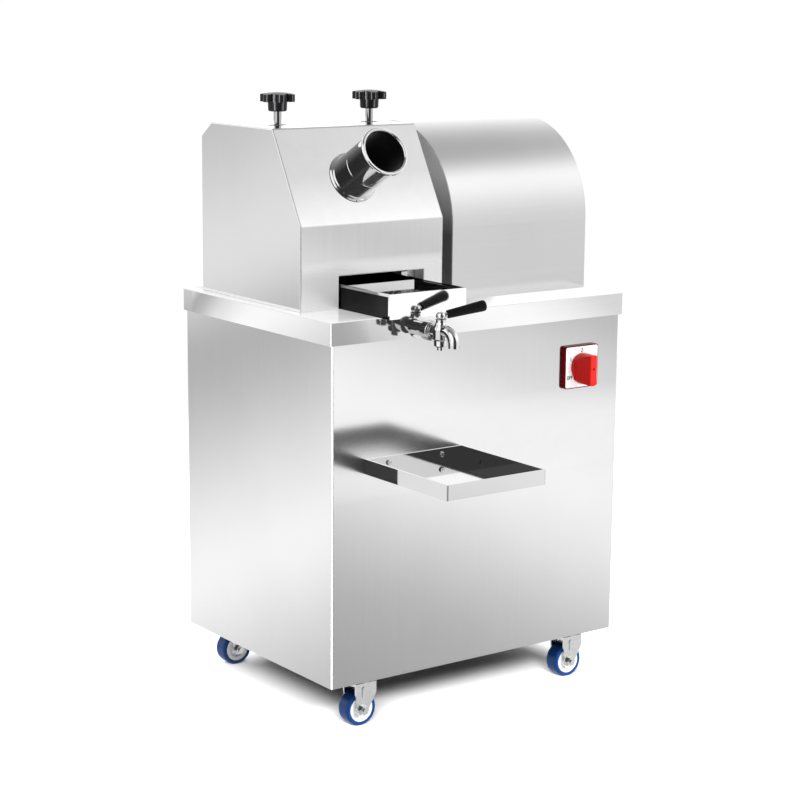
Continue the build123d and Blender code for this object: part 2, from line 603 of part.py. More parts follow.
# ---------------------------------------------------------------------------
# juice trough, strainer, outlet elbow and tap
# ---------------------------------------------------------------------------
tr = bx(TROUGH_X0, TROUGH_X1, TROUGH_Y0, TROUGH_Y1, 0, TROUGH_H)
tr = tr - bx(TROUGH_X0 + SHEET, TROUGH_X1 - SHEET, TROUGH_Y0 + SHEET, TROUGH_Y1 - SHEET, SHEET, TROUGH_H + 5)
hem = bx(TROUGH_X0, TROUGH_X1, TROUGH_Y0, TROUGH_Y1, TROUGH_H - 3.5, TROUGH_H) - bx(
    TROUGH_X0 + 3, TROUGH_X1 - 3, TROUGH_Y0 + 3, TROUGH_Y1 - 3, TROUGH_H - 5, TROUGH_H + 1
)
tr = tr + hem
tr = tr - cz(-1, 5, TAP_X, 40, 6.2)
NODES["juice_trough"] = tr

# strainer: perforated dish with a handle bow, lying on a ledge frame
SX0, SX1, SY0, SY1 = TROUGH_X0 + 4, TROUGH_X1 - 4, TROUGH_Y0 + 4, 96.0
SZ = 20.0
st = bx(SX0, SX1, SY0, SY1, SHEET + 0.5, TROUGH_H - 2.0)
st = st - bx(SX0 + 1.2, SX1 - 1.2, SY0 + 1.2, SY1 - 1.2, SZ, TROUGH_H + 3)
st = st - bx(SX0 + 1.2, SX1 - 1.2, SY0 + 1.2, SY1 - 1.2, -5, SZ - 1.2)
st = st - bx(SX0 + 12, SX1 - 12, SY0 - 2, SY1 + 2, -5, SZ - 4)
st = st - bx(SX0 - 2, SX1 + 2, SY0 + 12, SY1 - 12, -5, SZ - 4)
holes = []
NX, NY = 11, 10
for i in range(NX):
    for j in range(NY):
        x = SX0 + 9 + (SX1 - SX0 - 18) * i / (NX - 1)
        y = SY0 + 9 + (SY1 - SY0 - 18) * j / (NY - 1)
        holes.append(cz(SZ - 3, SZ + 2, x, y, 2.2))
st = st - holes
NODES["strainer"] = st

elbow = cy(17, 50, TAP_X, TAP_Z, 9.8) + cz(TAP_Z - 9.8, -1.5, TAP_X, 40, 9.8) + cz(-2, 0, TAP_X, 40, 9.0)
elbow = elbow - cy(16, 24.2, TAP_X, TAP_Z, 7.52) - cy(16, 42, TAP_X, TAP_Z, 5.5) - cz(TAP_Z, 1, TAP_X, 40, 6.2)
NODES["juice_elbow"] = elbow

# tap: shank, ring, upright valve barrel, curved spout
tap = cy(-46, 24, TAP_X, TAP_Z, 7.5)
tap = tap + cy(-3.5, 0, TAP_X, TAP_Z, 15.5)
ring = cy(-37, -22, TAP_X, TAP_Z, 14.5)
ring = fillet(ring.edges().filter_by(GeomType.CIRCLE), 1.6)
tap = tap + ring
for y0, r in ((-38.6, 12.2), (-40.2, 10.2)):
    step = cy(y0, -36, TAP_X, TAP_Z, r)
    tap = tap + fillet(step.faces().sort_by(Axis.Y)[0].edges(), 0.7)
tap = tap + cy(-22, -3, TAP_X, TAP_Z, 10.5)
tap = tap + turned_z(
    [
        (0, -40),
        (7.5, -40),
        (9.4, -38.4),
        (9.8, -31),
        (11.6, -28.6),
        (11.6, -15),
        (10.8, -11.6),
        (8.6, -7.6),
        (7.4, -4.6),
        (7.2, -2),
        (8.0, -0.8),
        (8.0, 0),
        (0, 0),
    ],
    TAP_X,
    VALVE_Y,
)
tap = tap + cz(-45, -39.5, TAP_X, VALVE_Y, 5.0)
BEND = 17.0
BX_Z = TAP_Z + 4.0


def spout_bend(r):
    prof = Pos(TAP_X, SPOUT_Y + BEND, BX_Z) * (Plane.XZ * Circle(r))
    return revolve(prof, Axis((TAP_X, SPOUT_Y + BEND, BX_Z - BEND), (1, 0, 0)), 90)


arm = cy(SPOUT_Y + BEND, VALVE_Y, TAP_X, BX_Z, 8.0)
drop = cz(SPOUT_Z - 6, BX_Z - BEND, TAP_X, SPOUT_Y, 8.0)
tap = tap + (arm + spout_bend(8.0) + drop)
way = spout_bend(5.5) + cz(SPOUT_Z - 8, BX_Z - BEND, TAP_X, SPOUT_Y, 5.5) + cy(SPOUT_Y + BEND, VALVE_Y - 9, TAP_X, BX_Z, 5.5)
tap = tap - way
tap = tap - cz(-30, 2, TAP_X, VALVE_Y, 4.5 + RUN)
tap = tap - cy(-40, 26, TAP_X, TAP_Z, 5.0)
NODES["tap_body"] = tap

NODES["tap_nut"] = hex_y(TAP_X, TAP_Z, 8.0, 15.5, 27) - cy(7, 17, TAP_X, TAP_Z, 7.52)

LEV_TILT, LEV_SWING = math.radians(10.0), math.radians(14.0)
LEV_LEN = 70.0
lev = cz(-29.5, 1.0, TAP_X, VALVE_Y, 4.5)
lev = lev + turned_z(
    [(0, 0.3), (5.6, 0.3), (6.4, 1.0), (7.2, 3.2), (7.0, 6.0), (5.8, 8.4), (3.8, 9.8), (1.8, 10.3), (0, 10.4)],
    TAP_X,
    VALVE_Y,
)
LEV_PL = Plane(
    origin=(TAP_X, VALVE_Y, 4.4),
    x_dir=(math.sin(LEV_SWING), math.cos(LEV_SWING), 0),
    z_dir=(
        math.cos(LEV_TILT) * math.cos(LEV_SWING),
        -math.cos(LEV_TILT) * math.sin(LEV_SWING),
        math.sin(LEV_TILT),
    ),
)
lev = lev + LEV_PL * (Pos(0, 0, 9) * Cylinder(3.6, 18))
lev = lev + LEV_PL * (Pos(0, 0, 36) * Cylinder(2.6, 44))
NODES["tap_lever"] = lev
grip = LEV_PL * revolve(
    Plane.XZ
    * make_face(
        Polyline(
            [
                (0, 9.6),
                (5.2, 9.6),
                (6.0, 10.4),
                (6.2, 14),
                (7.1, 42),
                (8.0, 62),
                (8.1, 66),
                (7.4, LEV_LEN - 1.6),
                (5.6, LEV_LEN - 0.3),
                (0, LEV_LEN),
            ],
            close=True,
        )
    ),
    Axis.Z,
)
grip = grip - LEV_PL * (Pos(0, 0, 9) * Cylinder(3.62, 18.04)) - LEV_PL * (Pos(0, 0, 36) * Cylinder(2.62, 44.6))
NODES["tap_grip"] = grip

# ---------------------------------------------------------------------------
# rotary switch
# ---------------------------------------------------------------------------
SY = CAB_Y0 - SW_DEEP
h = SW_SIZE / 2
box = bx(SW_X - h, SW_X + h, SY, CAB_Y0, SW_Z - h, SW_Z + h)
box = fillet(box.edges().filter_by(Axis.Y), 4.5)
box = fillet(box.faces().sort_by(Axis.Y)[0].edges(), 0.8)
box = box + cy(CAB_Y0, CAB_Y0 + 48, SW_X, SW_Z, 22.0)
seat = bx(SW_X - h + 1.6, SW_X + h - 1.6, SY - 1, SY + 0.8, SW_Z - h + 1.6, SW_Z + h - 1.6)
box = box - fillet(seat.edges().filter_by(Axis.Y), 3.2)
box = box - cy(SY - 1, SY + 16, SW_X, SW_Z, 4.0 + RUN)
NODES["switch_box"] = box
pl = bx(SW_X - h + 1.65, SW_X + h - 1.65, SY - 0.2, SY + 0.8, SW_Z - h + 1.65, SW_Z + h - 1.65)
pl = fillet(pl.edges().filter_by(Axis.Y), 3.2)
pl = pl - cy(SY - 2, SY + 2, SW_X, SW_Z, 6.0)
NODES["switch_plate"] = pl
# handle: round skirt, then a grip narrowing from the skirt to a flat bar
KY = SY - 0.7
KD = 28.0
kn = cy(KY - 5, KY, SW_X, SW_Z, 21.4)
kn = fillet(kn.faces().sort_by(Axis.Y)[0].edges(), 1.2)
wedge = [
    (SW_X - 18.8, KY - 3),
    (SW_X - 17.8, KY - 7),
    (SW_X - 6.2, KY - KD),
    (SW_X + 6.2, KY - KD),
    (SW_X + 17.8, KY - 7),
    (SW_X + 18.8, KY - 3),
]
bar = Pos(0, 0, SW_Z - 32) * extrude(make_face(Polyline(wedge, close=True)), 64, dir=(0, 0, 1))
bar = bar & cy(KY - KD - 1, KY, SW_X, SW_Z - 2.5, 23.9)
bar = chamfer(bar.faces().sort_by(Axis.Y)[0].edges(), 1.0)
kn = kn + bar
kn = kn + cy(KY - 2, SY + 15, SW_X, SW_Z, 4.0)
kn = kn - cy(KY - KD - 1, KY - KD + 1.6, SW_X, SW_Z, 2.2)
NODES["switch_knob"] = kn

# ---------------------------------------------------------------------------
# drip tray with rolled rim, and its screws
# ---------------------------------------------------------------------------
dt = bx(DRIP_X0, DRIP_X1, DRIP_Y0, CAB_Y0, DRIP_Z0, DRIP_Z1)
dt = fillet([e for e in dt.edges().filter_by(Axis.Z) if e.center().Y < 0], 2.0)
dt = dt - bx(DRIP_X0 + SHEET, DRIP_X1 - SHEET, DRIP_Y0 + SHEET, CAB_Y0 - SHEET, DRIP_Z0 + SHEET, DRIP_Z1 + 5)
rim = bx(DRIP_X0 + 0.5, DRIP_X1 - 0.5, DRIP_Y0 + 0.5, CAB_Y0, DRIP_Z1 - 3, DRIP_Z1) - bx(
    DRIP_X0 + 3, DRIP_X1 - 3, DRIP_Y0 + 3, CAB_Y0 - SHEET, DRIP_Z1 - 5, DRIP_Z1 + 1
)
dt = dt + rim
for x, z in DRIP_SCREWS:
    dt = dt - cy(CAB_Y0 - 3, CAB_Y0 + 1, x, z, 2.1)
NODES["drip_tray"] = dt
NODES["drip_tray_screws"] = group([pan_screw(x, z, CAB_Y0 - SHEET, -1, 9.0) for x, z in DRIP_SCREWS])

# ---------------------------------------------------------------------------
# worm reducer on the rear shaft, motor hanging below it, bracket, bolts
# ---------------------------------------------------------------------------
RY = LOWER[1]
red = cx(RED_X0, RED_X1, RY, MILL_Z, 60)
red = red + cx(RED_X0 - 10, RED_X1 + 10, RY, MILL_Z, 34)
red = red + cz(27, 170, MOTOR_X, MOTOR_Y, 34)
red = red + bx(MOTOR_X - 34, MOTOR_X + 34, MOTOR_Y, RY, 45, 155)
red = red + cz(15, 27, MOTOR_X, MOTOR_Y, 68)
red = red - cx(RED_X0 - 20, RED_X1 + 20, RY, MILL_Z, SHAFT_R + RUN)
NODES["gear_reducer"] = red

mot = cz(5, 15, MOTOR_X, MOTOR_Y, 68) + cz(-232, 5, MOTOR_X, MOTOR_Y, MOTOR_R)
fins = []
for k in range(20):
    fins.append(
        Pos(MOTOR_X, MOTOR_Y, -122) * Rot(0, 0, 18 * k) * Pos(MOTOR_R + 2.0, 0, 0) * Box(8.0, 3.0, 190)
    )
mot = mot + fins
mot = mot + bx(MOTOR_X + 60, MOTOR_X + 108, MOTOR_Y - 38, MOTOR_Y + 38, -110, -40)
NODES["motor"] = mot
cowl = cz(-284, -232, MOTOR_X, MOTOR_Y, 75) - cz(-282.5, -231, MOTOR_X, MOTOR_Y, 73.5)
for k in range(8):
    cowl = cowl - Pos(MOTOR_X, MOTOR_Y, -284) * Rot(0, 0, 45 * k) * Pos(40, 0, 0) * Box(36, 7, 8)
NODES["fan_cowl"] = cowl

brk = bx(427 + 8, 490, 232, 345, 0, 10) + bx(427, 435, 232, 345, 0, 150)
brk = brk - cx(420, 440, RY, MILL_Z, 34.2) - cz(-1, 28, MOTOR_X, MOTOR_Y, 71)
for bxx, byy in BOLTS[4:]:
    brk = brk - cz(-1, 11, bxx, byy, 5.2)
NODES["reducer_bracket"] = brk

bolts = []
for bxx, byy in BOLTS:
    b = hex_z(bxx, byy, 10, 16.5, 17) + cz(-15, 11, bxx, byy, 5.0) + hex_z(bxx, byy, -12.5, -4.5, 17)
    bolts.append(b)
NODES["mill_bolts"] = group(bolts)

# cable gland in the rear panel
gl = hex_y(GLAND_X, GLAND_Z, CAB_Y1 + SHEET, CAB_Y1 + SHEET + 5, 22)
gl = gl + cy(CAB_Y1 - 8, CAB_Y1 + 8, GLAND_X, GLAND_Z, 8.0)
dome = cy(CAB_Y1 + SHEET + 5, CAB_Y1 + SHEET + 19, GLAND_X, GLAND_Z, 10.0)
dome = fillet(dome.edges().sort_by(Axis.Y)[-1], 3.5)
gl = gl + dome
gl = gl + hex_y(GLAND_X, GLAND_Z, CAB_Y1 - 5, CAB_Y1, 22)
gl = gl - cy(CAB_Y1 - 10, CAB_Y1 + 30, GLAND_X, GLAND_Z, 4.5)
NODES["cable_gland"] = gl

# ---------------------------------------------------------------------------
# casters: stem with race and kingpin, fork, tyre, wheel centre
# ---------------------------------------------------------------------------
CORNER = {
    "front_left": (CASTER_X[0], CASTER_Y[0]),
    "front_right": (CASTER_X[1], CASTER_Y[0]),
    "rear_left": (CASTER_X[0], CASTER_Y[1]),
    "rear_right": (CASTER_X[1], CASTER_Y[1]),
}
stems = []
ZB = CAB_Z0
for x, y in CORNER.values():
    s = cz(ZB - 5, ZB, x, y, 18.0)
    s = fillet(s.edges().filter_by(GeomType.CIRCLE), 1.5)
    s = s + cz(ZB - 1, ZB + SHEET, x, y, 9.0) + cz(ZB, ZB + 26, x, y, 6.0)
    s = s + hex_z(x, y, FZ0 + T3, FZ0 + T3 + 9, 19)
    s = s + cz(ZB - 10, ZB - 4, x, y, 5.0) + cz(ZB - 12.6, ZB - 9.6, x, y, 8.0)
    stems.append(s)
NODES["caster_stems"] = group(stems)

for name, (x, y) in CORNER.items():
    ax = x - TRAIL
    zt = ZB - 5.3
    plate = bx(x - 18.5, x + 18.5, y - 16.5, y + 16.5, zt - 4.0, zt)
    plate = plate - cz(zt - 6, zt + 2, x, y, 5.0 + RUN)
    leg = [
        (x - 18.5, zt),
        (x + 18.5, zt),
        (x + 18.5, zt - 17),
        (ax + 8.5, AXLE_Z - 3),
        (ax + 5, AXLE_Z - 8),
        (ax - 5, AXLE_Z - 8),
        (ax - 8.5, AXLE_Z - 3),
        (x - 18.5, zt - 17),
    ]
    fork = plate + poly_y(leg, y - 16.5, y - 14.0) + poly_y(leg, y + 14.0, y + 16.5)
    # raised stiffening pad on each leg
    for y0, y1 in ((y - 17.4, y - 15.5), (y + 15.5, y + 17.4)):
        pad = bx(x - 7, x + 7, y0, y1, zt - 25, zt - 5)
        pad = fillet(pad.edges().filter_by(Axis.Y), 5.0)
        fork = fork + pad
    fork = fork - cy(y - 18, y + 18, ax, AXLE_Z, 4.02)
    bolt = cy(y - 24.0, y + 22.0, ax, AXLE_Z, 4.0)
    bolt = bolt + hex_y(ax, AXLE_Z, y - 21.5, y - 16.5, 13) + hex_y(ax, AXLE_Z, y + 16.5, y + 21.5, 13)
    NODES[f"caster_fork_{name}"] = group([fork, bolt])
    w = WHEEL_W / 2
    prof = [
        (19.6, 0.6 - w),
        (22.8, -w),
        (24.6, 0.7 - w),
        (25.6, 2.2 - w),
        (WHEEL_R, 4.6 - w),
        (WHEEL_R, w - 4.6),
        (25.6, w - 2.2),
        (24.6, w - 0.7),
        (22.8, w),
        (19.6, w - 0.6),
    ]
    tyre = Pos(ax, y, AXLE_Z) * Rot(90, 0, 0) * revolve(Plane.XZ * make_face(Polyline(prof, close=True)), Axis.Z)
    NODES[f"caster_tyre_{name}"] = tyre
    hubp = [
        (4.05, -13.2),
        (7.2, -13.2),
        (8.4, -12.2),
        (8.8, -8.6),
        (12.8, -8.0),
        (13.8, -11.4),
        (19.58, 0.8 - w),
        (19.58, w - 0.8),
        (13.8, 11.4),
        (12.8, 8.0),
        (8.8, 8.6),
        (8.4, 12.2),
        (7.2, 13.2),
        (4.05, 13.2),
    ]
    hubs = Pos(ax, y, AXLE_Z) * Rot(90, 0, 0) * revolve(Plane.XZ * make_face(Polyline(hubp, close=True)), Axis.Z)
    NODES[f"caster_hub_{name}"] = hubs

# ---------------------------------------------------------------------------
# shift to the floor frame and write one file per node
# ---------------------------------------------------------------------------
SHIFT = (-TOP_W / 2, -(DRIP_Y0 + CHUTE_REACH) / 2, -FLOOR_Z)

if __name__ == "__main__":
    os.makedirs("parts", exist_ok=True)
    for name, shape in NODES.items():
        moved = Pos(*SHIFT) * shape
        export_step(moved, f"parts/{name}.step")
    print(len(NODES), "nodes, shift", SHIFT)
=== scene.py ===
import json
import math

import bmesh
import bpy
from mathutils import Matrix, Vector


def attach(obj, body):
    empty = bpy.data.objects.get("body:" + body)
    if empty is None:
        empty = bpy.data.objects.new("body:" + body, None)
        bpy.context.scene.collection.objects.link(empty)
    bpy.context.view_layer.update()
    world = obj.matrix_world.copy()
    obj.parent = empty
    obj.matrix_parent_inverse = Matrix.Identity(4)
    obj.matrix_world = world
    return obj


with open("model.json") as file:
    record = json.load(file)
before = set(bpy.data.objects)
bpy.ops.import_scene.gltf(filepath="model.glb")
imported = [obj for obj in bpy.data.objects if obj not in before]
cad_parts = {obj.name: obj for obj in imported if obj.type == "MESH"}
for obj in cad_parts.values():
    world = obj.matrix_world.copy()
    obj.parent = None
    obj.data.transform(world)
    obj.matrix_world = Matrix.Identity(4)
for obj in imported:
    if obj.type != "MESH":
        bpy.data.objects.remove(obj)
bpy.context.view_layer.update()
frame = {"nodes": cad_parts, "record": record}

NODES = frame["nodes"]
SLOT_OF = {s["node"]: s["material_slot"] for s in frame["record"]["subparts"]}
scene = bpy.context.scene

# ---------------------------------------------------------------------------
# camera, view settings and object helpers
# ---------------------------------------------------------------------------
CAM_POS = Vector((-1.90817, -2.53157, 1.08254))
YAW, PITCH, ROLL = math.radians(36.11), math.radians(11.27), math.radians(0.5)
forward = Vector((math.sin(YAW) * math.cos(PITCH), math.cos(YAW) * math.cos(PITCH), -math.sin(PITCH)))
right = Vector((math.cos(YAW), -math.sin(YAW), 0.0))
up = right.cross(forward)
cam_x = right * math.cos(ROLL) + up * math.sin(ROLL)
cam_y = up * math.cos(ROLL) - right * math.sin(ROLL)
cam_data = bpy.data.cameras.new("camera")
cam_data.sensor_fit = "AUTO"
cam_data.sensor_width = 36.0
cam_data.lens = 94.72
cam_data.clip_start, cam_data.clip_end = 0.05, 100.0
camera = bpy.data.objects.new("camera", cam_data)
scene.collection.objects.link(camera)
basis = Matrix((cam_x, cam_y, -forward)).transposed()
camera.matrix_world = Matrix.Translation(CAM_POS) @ basis.to_4x4()
scene.camera = camera

scene.view_settings.view_transform = "Standard"
scene.view_settings.look = "None"
scene.view_settings.exposure = 0.0
scene.view_settings.gamma = 1.0


def link(obj):
    scene.collection.objects.link(obj)
    return obj


def mesh_object(name, bm, smooth=True):
    mesh = bpy.data.meshes.new(name)
    bm.normal_update()
    bm.to_mesh(mesh)
    bm.free()
    for p in mesh.polygons:
        p.use_smooth = smooth
    return link(bpy.data.objects.new(name, mesh))


# ---------------------------------------------------------------------------
# node helpers
# ---------------------------------------------------------------------------
class Build:
    """A small wrapper round one material's node tree."""

    def __init__(self, name):
        self.mat = bpy.data.materials.new(name)
        self.mat.use_nodes = True
        self.nt = self.mat.node_tree
        self.bsdf = self.nt.nodes["Principled BSDF"]
        self.coord = None

    def node(self, kind, **values):
        n = self.nt.nodes.new(kind)
        for key, value in values.items():
            setattr(n, key, value)
        return n

    def wire(self, a, b):
        self.nt.links.new(a, b)

    def place(self, scale=(1, 1, 1), turn=(0, 0, 0)):
        if self.coord is None:
            self.coord = self.node("ShaderNodeTexCoord")
        m = self.node("ShaderNodeMapping")
        m.inputs["Scale"].default_value = scale
        m.inputs["Rotation"].default_value = turn
        self.wire(self.coord.outputs["Object"], m.inputs["Vector"])
        return m.outputs["Vector"]

    def noise(self, scale=1.0, stretch=(1, 1, 1), detail=3.0, rough=0.5, turn=(0, 0, 0)):
        n = self.node("ShaderNodeTexNoise")
        n.inputs["Scale"].default_value = scale
        n.inputs["Detail"].default_value = detail
        n.inputs["Roughness"].default_value = rough
        self.wire(self.place(stretch, turn), n.inputs["Vector"])
        return n.outputs["Fac"]

    def cells(self, scale=1.0, stretch=(1, 1, 1)):
        n = self.node("ShaderNodeTexVoronoi")
        n.inputs["Scale"].default_value = scale
        self.wire(self.place(stretch), n.inputs["Vector"])
        return n

    def ramp(self, fac, stops):
        r = self.node("ShaderNodeValToRGB")
        e = r.color_ramp.elements
        while len(e) < len(stops):
            e.new(0.5)
        for el, (pos, col) in zip(e, stops):
            el.position = pos
            if isinstance(col, (int, float)):
                col = (col, col, col)
            el.color = (*col, 1.0)
        self.wire(fac, r.inputs["Fac"])
        return r.outputs["Color"]

    def span(self, fac, low, high, a=0.0, b=1.0):
        m = self.node("ShaderNodeMapRange")
        m.inputs["From Min"].default_value = a
        m.inputs["From Max"].default_value = b
        m.inputs["To Min"].default_value = low
        m.inputs["To Max"].default_value = high
        self.wire(fac, m.inputs["Value"])
        return m.outputs["Result"]

    def math(self, op, a, b):
        m = self.node("ShaderNodeMath", operation=op)
        for sock, v in ((m.inputs[0], a), (m.inputs[1], b)):
            if isinstance(v, (int, float)):
                sock.default_value = v
            else:
                self.wire(v, sock)
        return m.outputs["Value"]

    def blend(self, fac, a, b, mode="MIX"):
        m = self.node("ShaderNodeMix", data_type="RGBA", blend_type=mode)
        if isinstance(fac, (int, float)):
            m.inputs["Factor"].default_value = fac
        else:
            self.wire(fac, m.inputs["Factor"])
        for name, v in (("A", a), ("B", b)):
            sock = [s for s in m.inputs if s.name == name and s.type == "RGBA"][0]
            if isinstance(v, tuple):
                sock.default_value = (*v, 1.0)
            else:
                self.wire(v, sock)
        return [s for s in m.outputs if s.type == "RGBA"][0]

    def bump(self, height, strength, distance, chain=None):
        b = self.node("ShaderNodeBump")
        b.inputs["Strength"].default_value = strength
        b.inputs["Distance"].default_value = distance
        self.wire(height, b.inputs["Height"])
        if chain is not None:
            self.wire(chain, b.inputs["Normal"])
        self.wire(b.outputs["Normal"], self.bsdf.inputs["Normal"])
        return b.outputs["Normal"]

    def lean(self, slope):
        # upright faces shade as if their top edge stood out by this slope
        fine = self.bsdf.inputs["Normal"].links[0].from_socket if self.bsdf.inputs["Normal"].links else None
        self.bump(self.math("MULTIPLY", self.axis("Z"), slope), 1.0, 1.0, fine)

    def bowed(self, level, along_x, along_y):
        # skirts shade as sheet bowed a little: lean against place, on front/back and on side faces
        fine = self.bsdf.inputs["Normal"].links[0].from_socket if self.bsdf.inputs["Normal"].links else None
        fx = self.ramp(self.span(self.axis("X"), 0.0, 1.0, -0.30, 0.30), [((x + 0.30) / 0.60, v) for x, v in along_x])
        fy = self.ramp(self.span(self.axis("Y"), 0.0, 1.0, -0.30, 0.30), [((y + 0.30) / 0.60, v) for y, v in along_y])
        side = self.span(self.math("ABSOLUTE", self.facing("X"), 0.0), 0.0, 1.0, 0.6, 0.8)
        lean = self.blend(side, fx, fy)
        self.bump(self.math("MULTIPLY", self.math("SUBTRACT", self.axis("Z"), level), lean), 1.0, 1.0, fine)

    def soft_edges(self, radius):
        # folded edges shade as if bent to this radius
        e = self.node("ShaderNodeBevel", samples=6)
        e.inputs["Radius"].default_value = radius
        first = self.bsdf.inputs["Normal"].links[0].from_node
        self.wire(e.outputs["Normal"], first.inputs["Normal"])

    def axis(self, which):
        # one coordinate of the row frame, in metres
        x = self.node("ShaderNodeSeparateXYZ")
        self.wire(self.place(), x.inputs[0])
        return x.outputs[which]

    def facing(self, which):
        # one component of the true surface normal
        g = self.node("ShaderNodeNewGeometry")
        x = self.node("ShaderNodeSeparateXYZ")
        self.wire(g.outputs["True Normal"], x.inputs[0])
        return x.outputs[which]

    def over_tone(self, mask, tone, rough, speck=0.02):
        # where mask is 1 the surface takes another tone and roughness
        base = self.bsdf.inputs["Base Color"].links[0].from_socket
        gloss = self.bsdf.inputs["Roughness"].links[0].from_socket
        patch = self.ramp(self.noise(scale=40.0, detail=4.0), [(0.3, tone * (1.0 - speck)), (0.75, tone * (1.0 + speck))])
        self.colour(self.blend(mask, base, patch))
        m = self.node("ShaderNodeMix", data_type="FLOAT")
        self.wire(mask, m.inputs["Factor"])
        self.wire(gloss, m.inputs["A"])
        m.inputs["B"].default_value = rough
        self.rough(m.outputs["Result"])

    def dulled(self, mask, metal):
        # where mask is 1 the bare metal turns part-diffuse, its metallic lowered to this value
        self.wire(self.span(mask, 1.0, metal), self.bsdf.inputs["Metallic"])

    def fold(self):
        # 1 on the bends between upright faces
        nx = self.span(self.math("ABSOLUTE", self.facing("X"), 0.0), 0.0, 1.0, 0.28, 0.36)
        ny = self.span(self.math("ABSOLUTE", self.facing("Y"), 0.0), 0.0, 1.0, 0.28, 0.36)
        return self.math("MULTIPLY", nx, ny)

    def colour(self, sock):
        self.wire(sock, self.bsdf.inputs["Base Color"])

    def rough(self, sock):
        self.wire(sock, self.bsdf.inputs["Roughness"])

    def const(self, **values):
        for key, value in values.items():
            self.bsdf.inputs[key.replace("_", " ")].default_value = value
        return self


def steel(name, tone, rough, grain, spread=0.02, tint=(1.0, 1.0, 1.0), lines=260.0, relief=0.03):
    """Bare steel: faint cloudiness, fine polishing lines along one axis, and a few dull smears."""
    b = Build(name)
    b.const(Metallic=1.0)
    cloud = b.noise(scale=5.0, detail=2.0)
    stretch = {"x": (0.02, 1, 1), "y": (1, 0.02, 1), "z": (1, 1, 0.02)}[grain]
    line = b.noise(scale=lines, stretch=stretch, detail=2.0, rough=0.6)
    low = tuple((tone - spread) * t for t in tint)
    high = tuple((tone + spread) * t for t in tint)
    base = b.ramp(cloud, [(0.25, low), (0.75, high)])
    fine = b.ramp(line, [(0.2, 0.985), (0.8, 1.0)])
    b.colour(b.blend(1.0, base, fine, "MULTIPLY"))
    smear = b.noise(scale=7.0, detail=5.0, rough=0.6)
    dull = b.span(smear, 0.0, 0.12 * rough, 0.52, 0.78)
    r = b.math("ADD", b.span(line, rough * 0.95, rough * 1.06, 0.25, 0.75), dull)
    b.rough(r)
    b.bump(line, relief, 0.0002)
    return b


def plastic(name, colour, rough, grain=700.0, depth=0.06, spread=0.12, coat=0.0, sheen=0.5):
    """Moulded plastic: slight shade drift, fine moulded grain."""
    b = Build(name)
    cloud = b.noise(scale=14.0, detail=3.0)
    low = tuple(c * (1.0 - spread) for c in colour)
    high = tuple(min(1.0, c * (1.0 + spread)) for c in colour)
    b.colour(b.ramp(cloud, [(0.3, low), (0.7, high)]))
    fine = b.noise(scale=grain, detail=2.0)
    b.rough(b.span(fine, rough - 0.05, rough + 0.07, 0.3, 0.7))
    b.bump(fine, depth, 0.0002)
    b.const(Coat_Weight=coat, Coat_Roughness=0.08)
    b.bsdf.inputs["Specular IOR Level"].default_value = sheen
    return b.mat


def paint(name, colour, rough):
    """Sprayed enamel with orange peel and a little dust."""
    b = Build(name)
    dust = b.noise(scale=11.0, detail=4.0, rough=0.6)
    low = tuple(c * 0.85 for c in colour)
    high = tuple(min(1.0, c * 1.2 + 0.01) for c in colour)
    b.colour(b.ramp(dust, [(0.35, low), (0.75, high)]))
    peel = b.noise(scale=320.0, detail=1.0)
    b.rough(b.span(dust, rough - 0.05, rough + 0.12, 0.3, 0.8))
    b.bump(peel, 0.08, 0.0004)
    return b.mat


def cast(name, colour, rough, metal):
    """Rough cast or oiled metal."""
    b = Build(name)
    b.const(Metallic=metal)
    cloud = b.noise(scale=18.0, detail=4.0, rough=0.6)
    low = tuple(c * 0.75 for c in colour)
    high = tuple(min(1.0, c * 1.2) for c in colour)
    b.colour(b.ramp(cloud, [(0.3, low), (0.75, high)]))
    grit = b.noise(scale=500.0, detail=3.0)
    b.rough(b.span(cloud, rough - 0.06, rough + 0.1, 0.3, 0.7))
    b.bump(grit, 0.15, 0.0003)
    return b.mat


def spangle(name, tone, rough):
    """Zinc plating with faint crystal cells."""
    b = Build(name)
    b.const(Metallic=1.0)
    cell = b.cells(scale=220.0)
    cloud = b.noise(scale=25.0, detail=3.0)
    shade = b.ramp(cell.outputs["Color"], [(0.0, tone * 0.9), (1.0, tone * 1.06)])
    tintc = b.ramp(cloud, [(0.3, (0.96, 0.97, 1.0)), (0.7, (1.0, 1.0, 0.99))])
    b.colour(b.blend(1.0, shade, tintc, "MULTIPLY"))
    b.rough(b.span(cloud, rough - 0.05, rough + 0.08, 0.3, 0.7))
    b.bump(cloud, 0.04, 0.0005)
    return b.mat


